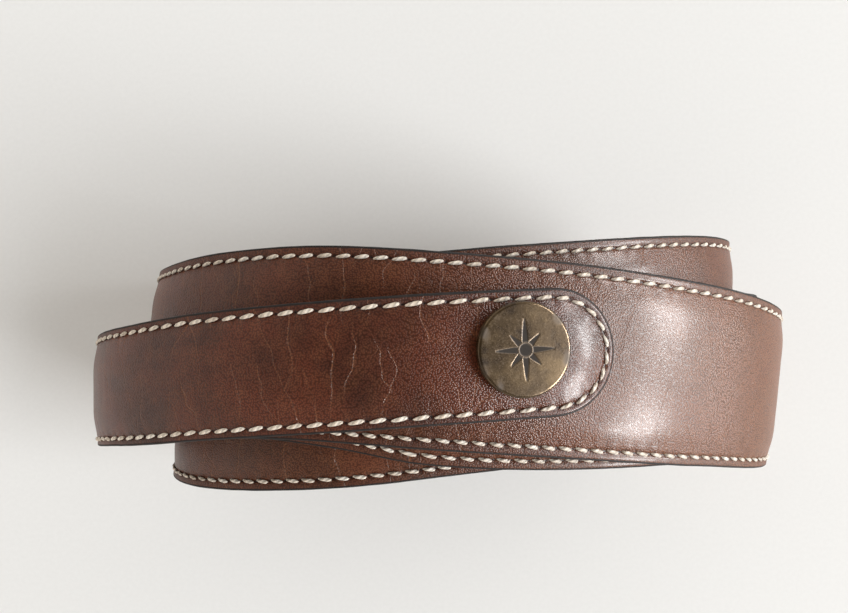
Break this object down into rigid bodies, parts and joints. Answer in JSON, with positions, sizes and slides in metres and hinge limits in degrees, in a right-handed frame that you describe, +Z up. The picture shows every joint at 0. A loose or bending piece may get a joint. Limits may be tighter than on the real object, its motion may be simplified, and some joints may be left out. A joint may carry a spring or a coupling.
{
  "type": "leather belt",
  "caption": "Coiled leather belt with a padded, edge-stitched strap that widens from a round-ended tongue, and a press-stud closure.",
  "frame": {"origin": "middle of the coil's box, at the bottom, on the surface that the coil lies on", "axes": "+Z up, +X along the coil's longest side towards the wide bend that the tongue's tip points to, +Y along the coil's axis, across the strap"},
  "size_m": [0.153, 0.0529, 0.0999],
  "materials": {
    "face_leather": "satin, fine pebble grain",
    "lining_leather": "matt, smooth",
    "filler": "raw split",
    "antique_brass": "antiqued, brushed",
    "spring_steel": "plain"
  },
  "bodies": {
    "coil": {"strap_face": "face_leather", "strap_filler": "filler", "strap_lining": "lining_leather", "stud_board": "filler", "stud_1": "antique_brass", "stud_2": "antique_brass", "stud_3": "antique_brass", "stud_post_1": "antique_brass", "stud_post_2": "antique_brass", "stud_post_3": "antique_brass"},
    "tongue_root": {"tongue_root_face": "face_leather", "tongue_root_filler": "filler", "tongue_root_lining": "lining_leather"},
    "tongue_middle": {"tongue_middle_face": "face_leather", "tongue_middle_filler": "filler", "tongue_middle_lining": "lining_leather"},
    "tongue_tip": {"tongue_tip_face": "face_leather", "tongue_tip_filler": "filler", "tongue_tip_lining": "lining_leather", "snap_cap": "antique_brass", "snap_cap_post": "antique_brass", "snap_socket": "antique_brass", "snap_socket_spring": "spring_steel"}
  },
  "joints": [
    {"name": "tongue_lift", "type": "hinge", "parent": "coil", "child": "tongue_root", "pos_m": [-0.05666, -0.00229, 0.07948], "axis": [0.0994, -0.9913, 0.0866], "range_deg": [0, 14], "stiffness_Nm_per_rad": 0.08},
    {"name": "tongue_bend", "type": "hinge", "parent": "tongue_root", "child": "tongue_middle", "pos_m": [-0.03659, 0.00062, 0.09184], "axis": [0.0914, -0.9951, 0.0383], "range_deg": [0, 14], "stiffness_Nm_per_rad": 0.08},
    {"name": "tongue_tip_bend", "type": "hinge", "parent": "tongue_middle", "child": "tongue_tip", "pos_m": [-0.01263, 0.00275, 0.09792], "axis": [0.0748, -0.9972, 0.0078], "range_deg": [0, 14], "stiffness_Nm_per_rad": 0.08}
  ],
  "couplings": [
    {"joint": "tongue_bend", "follows": "tongue_lift", "ratio": 1},
    {"joint": "tongue_tip_bend", "follows": "tongue_lift", "ratio": 1}
  ]
}
